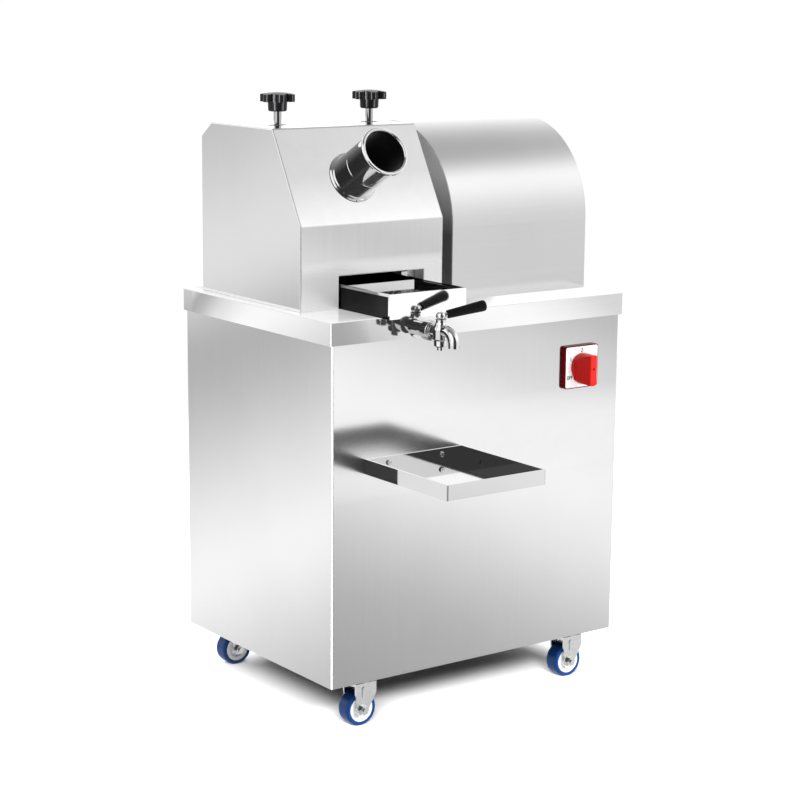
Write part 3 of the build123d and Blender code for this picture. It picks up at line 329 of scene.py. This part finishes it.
MATS = {
    "sheet_steel": steel("sheet_steel", 0.78, 0.13, "z").mat,
    # mill and roller steel toned darker than bare steel: painted shade for the inside of the head
    "mill_steel": steel("mill_steel", 0.42, 0.34, "z", spread=0.05, lines=180.0).mat,
    "roller_steel": steel("roller_steel", 0.46, 0.26, "x", spread=0.04, lines=200.0).mat,
    "polished_steel": steel("polished_steel", 0.80, 0.06, "z", spread=0.015).mat,
    "chrome": steel("chrome", 0.88, 0.035, "x", spread=0.01, relief=0.01).mat,
    "zinc": spangle("zinc", 0.90, 0.28),
    "bronze": steel("bronze", 0.62, 0.28, "x", spread=0.04, tint=(1.0, 0.74, 0.40)).mat,
    "cast_iron": cast("cast_iron", (0.17, 0.17, 0.175), 0.46, 0.8),
    "frame_paint": paint("frame_paint", (0.22, 0.23, 0.25), 0.48),
    "motor_paint": paint("motor_paint", (0.08, 0.11, 0.17), 0.36),
    "aluminium": cast("aluminium", (0.55, 0.56, 0.58), 0.44, 1.0),
    "black_plastic": plastic("black_plastic", (0.006, 0.006, 0.007), 0.26, sheen=0.16),
    "red_plastic": plastic("red_plastic", (0.39, 0.008, 0.006), 0.28, depth=0.02, sheen=0.15),
    "white_plastic": plastic("white_plastic", (0.84, 0.83, 0.82), 0.32, depth=0.02, spread=0.02),
    "blue_tyre": plastic("blue_tyre", (0.003, 0.038, 0.165), 0.20, grain=300.0, depth=0.02, coat=0.1, sheen=0.2),
    "wheel_centre": plastic("wheel_centre", (0.74, 0.75, 0.76), 0.34, depth=0.03, spread=0.04),
}

# sheet pieces differ in how far they are polished and which way they were rubbed
SHEETS = {
    # the base plate is toned near black: painted shade under the cabinet
    "cabinet_base": (0.15, 0.45, "x"),
    "rear_panel": (0.78, 0.14, "z"),
    "strainer": (0.80, 0.22, "x"),
    "bagasse_chute": (0.78, 0.16, "z"),
}
NODE_MATS = {node: steel("steel_" + node, tone, rough, grain).mat for node, (tone, rough, grain) in SHEETS.items()}

# cabinet wrap: polished; a band across the front behind the tray is rougher and toned lighter, painted light over the
# tray's dark reflection; pale matt on its folds
b = steel("steel_cabinet_wrap", 0.78, 0.095, "z")
front_face = b.span(b.facing("Y"), 1.0, 0.0, -0.95, -0.8)
painted_light_band_behind_tray = b.math("MULTIPLY", b.span(b.axis("Z"), 0.0, 1.0, 0.345, 0.375), b.span(b.axis("Z"), 1.0, 0.0, 0.425, 0.475))
# front band behind the tray: rougher, and toned lighter as painted light
b.over_tone(b.math("MULTIPLY", front_face, painted_light_band_behind_tray), 0.97, 0.22, 0.01)
bend = b.fold()
b.over_tone(bend, 0.80, 0.40, 0.01)
b.dulled(bend, 0.15)
NODE_MATS["cabinet_wrap"] = b.mat

# switch box: darker red than its handle; grip: dull black rubber
NODE_MATS["switch_box"] = plastic("switch_box_red", (0.15, 0.002, 0.005), 0.34, depth=0.03, sheen=0.15)
NODE_MATS["tap_grip"] = plastic("grip_black", (0.007, 0.007, 0.008), 0.42, grain=500.0, sheen=0.12)

# pressure screws: darker bright-drawn stems
for side in ("left", "right"):
    NODE_MATS["pressure_screw_" + side] = steel("screw_" + side, 0.52, 0.10, "z").mat

# worktop: satin top, toned lighter along the front edge as a painted highlight; skirts leaning in a little
b = steel("steel_worktop", 0.80, 0.06, "x")
painted_highlight_front = b.span(b.axis("Y"), 1.0, 0.0, -0.112, -0.076)
flat_top = b.span(b.facing("Z"), 0.0, 1.0, 0.6, 0.9)
b.over_tone(b.math("MULTIPLY", flat_top, b.span(painted_highlight_front, 1.0, 0.0, 0.0, 1.0)), 0.79, 0.25)
bend = b.fold()
b.dulled(b.math("MAXIMUM", flat_top, bend), 0.15)
# the top's front strip is toned lighter: painted highlight
b.over_tone(b.math("MULTIPLY", flat_top, painted_highlight_front), 0.83, 0.25)
b.bowed(0.595, [(-0.253, 0.100), (-0.205, 0.066), (-0.10, 0.053), (0.27, 0.031)], [(-0.125, 0.148), (0.02, 0.135), (0.10, 0.122), (0.18, 0.082), (0.255, 0.014)])
b.over_tone(bend, 0.75, 0.40, 0.01)
NODE_MATS["worktop"] = b.mat

# head: upright walls brushed; slope rougher and toned darker, lighter towards its foot, and the lower front rougher
# and toned lighter: painted shade and painted light
b = steel("steel_head_cover", 0.86, 0.10, "z")
up_face = b.facing("Z")
slope = b.math("MULTIPLY", b.span(up_face, 0.0, 1.0, 0.25, 0.4), b.span(up_face, 1.0, 0.0, 0.7, 0.85))
# slope toned darker, its lower part lighter: painted shade and light graded by height
b.over_tone(slope, 0.63, 0.17)
b.over_tone(b.math("MULTIPLY", slope, b.span(b.axis("Z"), 1.0, 0.0, 0.738, 0.805)), 0.83, 0.17)
# lower front: rougher, and toned lighter as painted light
painted_light_low_front = b.math("MULTIPLY", b.span(b.facing("Y"), 1.0, 0.0, -0.98, -0.94), b.span(b.axis("Z"), 1.0, 0.0, 0.655, 0.685))
b.over_tone(painted_light_low_front, 0.95, 0.42, 0.01)
b.soft_edges(0.0025)
NODE_MATS["head_cover"] = b.mat

# drive hood: brushed along its length; its side in the gap beside the head toned dark and matt, lighter towards the
# top, and its inside toned near black: painted shade
b = steel("steel_drive_hood", 0.75, 0.19, "x")
painted_shade_gap = b.span(b.facing("X"), 1.0, 0.0, -0.9, -0.6)
# side facing the head: painted shade, lighter towards the top
b.over_tone(painted_shade_gap, 0.10, 0.30, 0.12)
b.over_tone(b.math("MULTIPLY", painted_shade_gap, b.span(b.axis("Z"), 0.0, 1.0, 0.71, 0.80)), 0.42, 0.40)
b.dulled(painted_shade_gap, 0.0)
painted_shade_within = b.math("MULTIPLY", b.span(b.facing("Y"), 1.0, 0.0, -0.9, -0.8), b.span(b.axis("Y"), 0.0, 1.0, 0.0, 0.02))
# inside the hood: painted shade
b.over_tone(painted_shade_within, 0.05, 0.40, 0.12)
NODE_MATS["drive_hood"] = b.mat

# trough: bright front and hems; side walls and the run under the rollers toned near black: painted shade
b = steel("steel_juice_trough", 0.96, 0.08, "x")
side = b.math("MULTIPLY", b.span(b.math("ABSOLUTE", b.facing("X"), 0.0), 0.0, 1.0, 0.5, 0.6), b.span(b.axis("Z"), 1.0, 0.0, 0.6440, 0.6446))
side = b.math("MULTIPLY", side, b.span(b.axis("Y"), 0.0, 1.0, -0.1462, -0.1458))
painted_shade_under_rollers = b.span(b.axis("Y"), 0.0, 1.0, -0.045, -0.020)
# side walls and the run under the rollers: painted shade
b.over_tone(b.math("MAXIMUM", side, painted_shade_under_rollers), 0.020, 0.25, 0.18)
b.lean(0.034)
NODE_MATS["juice_trough"] = b.mat
# drip tray: polished; walls toned grey and the up-facing floor lighter: painted shade and painted light by facing
b = steel("steel_drip_tray", 0.62, 0.05, "x")
# floor facing up toned lighter: painted light
b.over_tone(b.span(b.facing("Z"), 0.0, 1.0, 0.5, 0.9), 0.96, 0.06, 0.005)
NODE_MATS["drip_tray"] = b.mat

# feed tube and collar: polished outside, toned near black inside: painted shade
TUBE_AT = Vector((-0.146, 0.00866, 0.7974))
TUBE_AIM = Vector((0.0, -0.87691, 0.48068))


def tube_steel(name):
    b = steel(name, 0.80, 0.05, "z", spread=0.015, relief=0.012)
    rel = b.node("ShaderNodeVectorMath", operation="SUBTRACT")
    b.wire(b.place(), rel.inputs[0])
    rel.inputs[1].default_value = TUBE_AT
    out = b.node("ShaderNodeVectorMath", operation="CROSS_PRODUCT")
    b.wire(rel.outputs["Vector"], out.inputs[0])
    out.inputs[1].default_value = TUBE_AIM
    radius = b.node("ShaderNodeVectorMath", operation="LENGTH")
    b.wire(out.outputs["Vector"], radius.inputs[0])
    wander = b.noise(scale=60.0, detail=3.0)
    edge = b.math("ADD", radius.outputs["Value"], b.span(wander, -0.0003, 0.0003, 0.3, 0.7))
    outside = b.span(edge, 0.0, 1.0, 0.0324, 0.0329)
    bright = b.bsdf.inputs["Base Color"].links[0].from_socket
    gloss = b.bsdf.inputs["Roughness"].links[0].from_socket
    # inside the bore: painted shade
    painted_shade_inside = b.ramp(b.noise(scale=35.0, detail=4.0), [(0.3, 0.004), (0.75, 0.012)])
    b.colour(b.blend(outside, painted_shade_inside, bright))
    m = b.node("ShaderNodeMix", data_type="FLOAT")
    b.wire(outside, m.inputs["Factor"])
    m.inputs["A"].default_value = 0.6
    b.wire(gloss, m.inputs["B"])
    b.rough(m.outputs["Result"])
    return b.mat


NODE_MATS["feed_tube"] = tube_steel("feed_tube_steel")
NODE_MATS["feed_collar"] = tube_steel("feed_collar_steel")

for node, obj in NODES.items():
    obj.data.materials.clear()
    obj.data.materials.append(NODE_MATS.get(node) or MATS[SLOT_OF[node]])
# the trough and tube, dark with painted shade, and the hood's side with painted shade throw no dark patch on the
# polished sheets round them
for node in ("juice_trough", "strainer", "feed_tube", "feed_collar", "drive_hood"):
    NODES[node].visible_glossy = False

# ---------------------------------------------------------------------------
# printed marks on the switch plate: position numbers, OFF, and ticks between
# ---------------------------------------------------------------------------
PLATE_AT = Vector((0.1885, -0.1292, 0.5045))
INK = 0.00012


def stroke(bm, path, width, closed=False):
    """A flat printed line along path (x, z in metres from the plate's middle), with mitred corners."""
    pts = [Vector(q) for q in path]
    n = len(pts)
    rows = []
    for i, q in enumerate(pts):
        before = pts[i - 1] if (i > 0 or closed) else None
        after = pts[(i + 1) % n] if (i < n - 1 or closed) else None
        a = (q - before).normalized() if before is not None else None
        c = (after - q).normalized() if after is not None else None
        a, c = a or c, c or a
        side = Vector((-a.y, a.x)) + Vector((-c.y, c.x))
        side = side.normalized() * (width / 2) / max(0.5, side.normalized().dot(Vector((-a.y, a.x))))
        rows.append([
            bm.verts.new((PLATE_AT.x + s.x, PLATE_AT.y + d, PLATE_AT.z + s.y))
            for s, d in ((q - side, 0.0), (q + side, 0.0), (q + side, -INK), (q - side, -INK))
        ])
    last = n if closed else n - 1
    for i in range(last):
        r0, r1 = rows[i], rows[(i + 1) % n]
        for k in range(4):
            bm.faces.new((r0[k], r0[(k + 1) % 4], r1[(k + 1) % 4], r1[k]))
    if not closed:
        bm.faces.new(rows[0][::-1])
        bm.faces.new(rows[-1])


def glyph(bm, lines, at, size, width):
    for path, closed in lines:
        stroke(bm, [(at[0] + x * size, at[1] + z * size) for x, z in path], width, closed)


def bow(cx, cz, rx, rz, a0, a1, n):
    return [(cx + rx * math.cos(math.radians(a0 + (a1 - a0) * k / n)), cz + rz * math.sin(math.radians(a0 + (a1 - a0) * k / n))) for k in range(n + 1)]


ONE = [([(-0.22, 0.26), (0.06, 0.5), (0.06, -0.5)], False)]
TWO = [(bow(0.0, 0.22, 0.27, 0.28, 160, -40, 8) + [(-0.28, -0.5), (0.30, -0.5)], False)]
OH = [(bow(0.0, 0.0, 0.30, 0.5, 0, 330, 11), True)]
EF = [([(-0.22, -0.5), (-0.22, 0.46), (0.26, 0.46)], False), ([(-0.17, 0.02), (0.18, 0.02)], False)]
bm = bmesh.new()
glyph(bm, TWO, (0.0, 0.0256), 0.0054, 0.0010)
glyph(bm, ONE, (-0.0222, 0.0126), 0.0058, 0.0012)
for letter, dx in ((OH, -0.0042), (EF, 0.0), (EF, 0.0037)):
    glyph(bm, letter, (-0.0228 + dx, -0.0156), 0.0054, 0.0011)
for turn in (15, 30, 45, 75, 90, 105):
    way = Vector((-math.sin(math.radians(turn)), math.cos(math.radians(turn))))
    stroke(bm, [way * 0.0238, way * 0.0262], 0.0004)
bmesh.ops.recalc_face_normals(bm, faces=bm.faces)
marks = mesh_object("switch_marks", bm, smooth=False)
mk = Build("plate_ink")
mk.colour(mk.ramp(mk.noise(scale=900.0, detail=3.0), [(0.3, 0.012), (0.75, 0.04)]))
mk.rough(mk.span(mk.noise(scale=400.0), 0.45, 0.6, 0.3, 0.7))
marks.data.materials.append(mk.mat)
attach(marks, "machine")

# ---------------------------------------------------------------------------
# floor and studio light
# ---------------------------------------------------------------------------
FLOOR_R = 2.6
bm = bmesh.new()
rings = [0.0, 0.4, 0.8, 1.2, 1.6, 2.0, 2.3, FLOOR_R]
prev = None
for r in rings:
    if r == 0.0:
        ring = [bm.verts.new((0.0, 0.0, 0.0))]
    else:
        ring = [bm.verts.new((r * math.cos(2 * math.pi * k / 64), r * math.sin(2 * math.pi * k / 64), 0.0)) for k in range(64)]
    if prev is not None:
        for k in range(64):
            if len(prev) == 1:
                bm.faces.new((prev[0], ring[k], ring[(k + 1) % 64]))
            else:
                bm.faces.new((prev[k], ring[k], ring[(k + 1) % 64], prev[(k + 1) % 64]))
    prev = ring
floor = mesh_object("floor", bm, smooth=False)
fb = Build("floor_pale")
fb.colour(fb.ramp(fb.noise(scale=2.0, detail=2.0), [(0.3, 0.86), (0.7, 0.88)]))
fb.const(Roughness=0.75)
fb.bsdf.inputs["Specular IOR Level"].default_value = 0.0
length = fb.node("ShaderNodeVectorMath", operation="LENGTH")
fb.wire(fb.place(), length.inputs[0])
fade = fb.node("ShaderNodeMapRange", interpolation_type="SMOOTHERSTEP")
fade.inputs["From Min"].default_value = 1.5
fade.inputs["From Max"].default_value = FLOOR_R
fade.inputs["To Min"].default_value = 1.0
fade.inputs["To Max"].default_value = 0.0
fb.wire(length.outputs["Value"], fade.inputs["Value"])
fb.wire(fade.outputs["Result"], fb.bsdf.inputs["Alpha"])
floor.data.materials.append(fb.mat)
floor.visible_glossy = False

# soft studio: white cove all round, pale walls on the right and behind, dim to the upper left
world = bpy.data.worlds.new("studio")
scene.world = world
world.use_nodes = True
world.cycles.sampling_method = "NONE"
wn = world.node_tree
bg = wn.nodes["Background"]
ROOM = 1.4
bg.inputs["Strength"].default_value = ROOM
coord = wn.nodes.new("ShaderNodeTexCoord")
sep = wn.nodes.new("ShaderNodeSeparateXYZ")
wn.links.new(coord.outputs["Generated"], sep.inputs[0])
flat = wn.nodes.new("ShaderNodeVectorMath")
flat.operation = "MULTIPLY"
flat.inputs[1].default_value = (1.0, 1.0, 0.0)
wn.links.new(coord.outputs["Generated"], flat.inputs[0])
level = wn.nodes.new("ShaderNodeVectorMath")
level.operation = "NORMALIZE"
wn.links.new(flat.outputs["Vector"], level.inputs[0])
AIM = Vector((math.sin(YAW), math.cos(YAW), 0.0))
SIDE = Vector((math.cos(YAW), -math.sin(YAW), 0.0))


def w_span(sock, a, b):
    m = wn.nodes.new("ShaderNodeMapRange")
    m.interpolation_type = "SMOOTHSTEP"
    m.inputs["From Min"].default_value = a
    m.inputs["From Max"].default_value = b
    wn.links.new(sock, m.inputs["Value"])
    return m.outputs["Result"]


def w_math(op, a, b):
    m = wn.nodes.new("ShaderNodeMath")
    m.operation = op
    for sock, v in ((m.inputs[0], a), (m.inputs[1], b)):
        if isinstance(v, (int, float)):
            sock.default_value = v
        else:
            wn.links.new(v, sock)
    return m.outputs["Value"]


def w_dot(x, y):
    # how far the level direction points along (x, y)
    m = wn.nodes.new("ShaderNodeVectorMath")
    m.operation = "DOT_PRODUCT"
    m.inputs[1].default_value = (x, y, 0.0)
    wn.links.new(level.outputs["Vector"], m.inputs[0])
    return m.outputs["Value"]


def w_wall(sock, stops, a, b):
    # brightness against one measure of direction; stops are (measure, radiance)
    lift = wn.nodes.new("ShaderNodeMapRange")
    lift.inputs["From Min"].default_value = a
    lift.inputs["From Max"].default_value = b
    wn.links.new(sock, lift.inputs["Value"])
    r = wn.nodes.new("ShaderNodeValToRGB")
    while len(r.color_ramp.elements) < len(stops):
        r.color_ramp.elements.new(0.5)
    for el, (z, v) in zip(r.color_ramp.elements, stops):
        el.position = (z - a) / (b - a)
        el.color = (v / ROOM, v / ROOM, v / ROOM, 1.0)
    wn.links.new(lift.outputs["Result"], r.inputs["Fac"])
    return r.outputs["Color"]


def w_mix(fac, a, b):
    m = wn.nodes.new("ShaderNodeMix")
    m.data_type = "RGBA"
    wn.links.new(fac, m.inputs["Factor"])
    ins = [x for x in m.inputs if x.type == "RGBA"]
    for sock, v in zip(ins, (a, b)):
        if isinstance(v, (int, float)):
            sock.default_value = (v / ROOM, v / ROOM, v / ROOM, 1.0)
        else:
            wn.links.new(v, sock)
    return [x for x in m.outputs if x.type == "RGBA"][0]


Z = sep.outputs["Z"]
# upper walls, against the sine of the elevation
wall_front = w_wall(Z, [(-1.0, 0.84), (0.0, 0.86), (0.22, 1.02), (0.46, 1.25), (0.60, 1.30), (0.68, 1.02), (0.78, 0.56), (1.0, 0.30)], -1.0, 1.0)
wall_back = w_wall(Z, [(-1.0, 1.15), (0.05, 1.25), (0.22, 1.30), (0.50, 1.05), (0.70, 0.74), (0.78, 0.56), (1.0, 0.30)], -1.0, 1.0)
wall_left = w_wall(Z, [(-1.0, 0.9), (-0.05, 0.74), (0.0, 0.50), (0.12, 0.12), (0.70, 0.06), (0.88, 0.16), (1.0, 0.30)], -1.0, 1.0)
right_side = w_mix(w_span(sep.outputs["Y"], -0.25, 0.35), wall_front, wall_back)
left_side = w_mix(w_span(sep.outputs["Y"], 0.15, 0.55), wall_left, wall_back)
upper = w_mix(w_span(sep.outputs["X"], -0.28, 0.22), left_side, right_side)
# soft box high on the front left
lobe = wn.nodes.new("ShaderNodeVectorMath")
lobe.operation = "DOT_PRODUCT"
lobe.inputs[1].default_value = Vector((-0.85, -0.25, 0.42)).normalized()
wn.links.new(coord.outputs["Generated"], lobe.inputs[0])
# sweep of the cove below eye level: soft bands that lean a little across the picture
drop = w_math("MULTIPLY", Z, -1.0)
lean_front = w_math("SUBTRACT", drop, w_math("MULTIPLY", w_dot(SIDE.x, -SIDE.y), 0.294))
lean_left = w_math("ADD", drop, w_math("MULTIPLY", w_dot(-SIDE.x, SIDE.y), 0.36))
GAIN = 1.31
FRONT_LOW = [(0.0, 0.66), (0.09, 0.68), (0.105, 0.58), (0.123, 0.38), (0.150, 0.71), (0.163, 0.61), (0.180, 0.82),
             (0.200, 0.95), (0.215, 0.93), (0.240, 0.79), (0.262, 0.60), (0.290, 0.43), (0.330, 0.36)]
LEFT_LOW = [(0.0, 0.40), (0.043, 0.50), (0.085, 0.67), (0.104, 0.68), (0.118, 0.60), (0.134, 0.38), (0.160, 0.47), (0.200, 0.73),
            (0.235, 0.92), (0.250, 0.92), (0.280, 0.70), (0.310, 0.53), (0.400, 0.48)]
front_low = w_wall(lean_front, [(w, v * GAIN) for w, v in FRONT_LOW], 0.0, 0.4)
left_low = w_wall(lean_left, [(w, v * GAIN) for w, v in LEFT_LOW], 0.0, 0.4)
cove = w_wall(drop, [(0.0, 0.86), (0.09, 1.02), (0.16, 0.78), (0.25, 1.08), (0.34, 0.74), (0.50, 0.60)], 0.0, 0.5)
lower = w_mix(w_span(w_dot(AIM.x, -AIM.y), 0.80, 0.93), cove, front_low)
lower = w_mix(w_span(w_dot(-AIM.x, AIM.y), 0.80, 0.93), lower, left_low)
room = w_mix(w_span(Z, 0.012, -0.03), upper, lower)
room = w_mix(w_span(Z, -0.38, -0.50), room, 0.66)
# unlit end of the room: a narrow sector, wider for what is seen by way of a second surface
path = wn.nodes.new("ShaderNodeLightPath")
behind = w_dot(-AIM.x, -AIM.y)
high_side = w_math("MULTIPLY", w_math("MULTIPLY", w_span(behind, 0.45, 0.75), w_span(Z, 0.0, 0.06)), w_span(Z, 0.85, 0.6))
belt = w_math("MULTIPLY", w_span(Z, -0.50, -0.40), w_span(Z, 0.06, 0.0))
shifted = w_dot(-math.sin(YAW - 0.35), -math.cos(YAW - 0.35))
low_once = w_math("MULTIPLY", w_span(shifted, 0.80, 0.92), belt)
shelf = w_math("MULTIPLY", w_span(Z, -0.42, -0.35), w_span(Z, 0.06, 0.0))
low_twice = w_math("MULTIPLY", w_span(behind, 0.0, 0.5), shelf)
twice = w_span(path.outputs["Glossy Depth"], 1.4, 1.6)
low_side = w_math("ADD", w_math("MULTIPLY", low_twice, twice), w_math("MULTIPLY", low_once, w_math("SUBTRACT", 1.0, twice)))
room = w_mix(w_math("MAXIMUM", low_side, high_side), room, 0.04)
once = w_math("SUBTRACT", 1.0, twice)
room = w_mix(w_math("MULTIPLY", once, w_span(lobe.outputs["Value"], 0.80, 0.90)), room, 1.12)
# what is seen by way of three or more surfaces is dim
room = w_mix(w_span(path.outputs["Glossy Depth"], 2.4, 2.6), room, 0.09)
# what lights dull surfaces: an even ceiling, dim near the ground
fill = w_wall(Z, [(-1.0, 0.16), (0.0, 0.08), (0.20, 0.16), (0.36, 0.50), (0.60, 1.0), (1.0, 1.0)], -1.0, 1.0)
room = w_mix(w_span(path.outputs["Diffuse Depth"], 0.4, 0.6), room, fill)
# the backdrop itself is plain white
room = w_mix(path.outputs["Is Camera Ray"], room, 1.02)
wn.links.new(room, bg.inputs["Color"])


def area(name, pos, target, size, power, lit=None, mirror=False):
    data = bpy.data.lights.new(name, "AREA")
    data.shape = "RECTANGLE"
    data.size, data.size_y = size
    data.energy = power
    obj = link(bpy.data.objects.new(name, data))
    direction = Vector(target) - Vector(pos)
    obj.matrix_world = Matrix.Translation(pos) @ direction.to_track_quat("-Z", "Y").to_matrix().to_4x4()
    obj.visible_glossy = mirror
    if lit:
        only = bpy.data.collections.new(name + "_lit")
        for o in lit:
            only.objects.link(o)
        obj.light_linking.receiver_collection = only
    return obj


SOFT = {"red_plastic", "white_plastic", "blue_tyre", "wheel_centre", "frame_paint", "motor_paint"}
soft_pieces = [o for n, o in NODES.items() if SLOT_OF[n] in SOFT and n not in ("switch_box", "switch_plate")]
knobs = [NODES["knob_left"], NODES["knob_right"]]
area("floor_front", (-1.77, -2.35, 1.74), (0.0, 0.0, 0.0), (2.4, 0.5), 300.0, [floor])
area("floor_back", (0.6, 1.0, 2.2), (0.6, 0.98, 0.0), (2.2, 2.2), 100.0, [floor])
area("soft_key", (1.5, -1.5, 1.2), (0.0, 0.0, 0.5), (1.0, 1.0), 100.0, soft_pieces, True)
area("plate_key", (1.5, -1.5, 1.2), (0.0, 0.0, 0.5), (1.0, 1.0), 45.0, [NODES["switch_plate"], marks])
area("top_fill", (-0.6, -0.9, 1.9), (-0.1, -0.05, 0.61), (0.9, 0.9), 21.0, [NODES["worktop"]])
area("fold_fill", (-1.6, -1.3, 0.6), (-0.27, -0.12, 0.35), (1.0, 1.0), 30.0, [NODES["cabinet_wrap"]])
area("strip_left", (-1.6, -0.5, 0.9), (0.0, 0.0, 0.88), (0.14, 1.0), 40.0, knobs, True)
area("strip_right", (1.0, -1.5, 0.9), (0.0, 0.0, 0.88), (0.10, 1.0), 30.0, knobs, True)
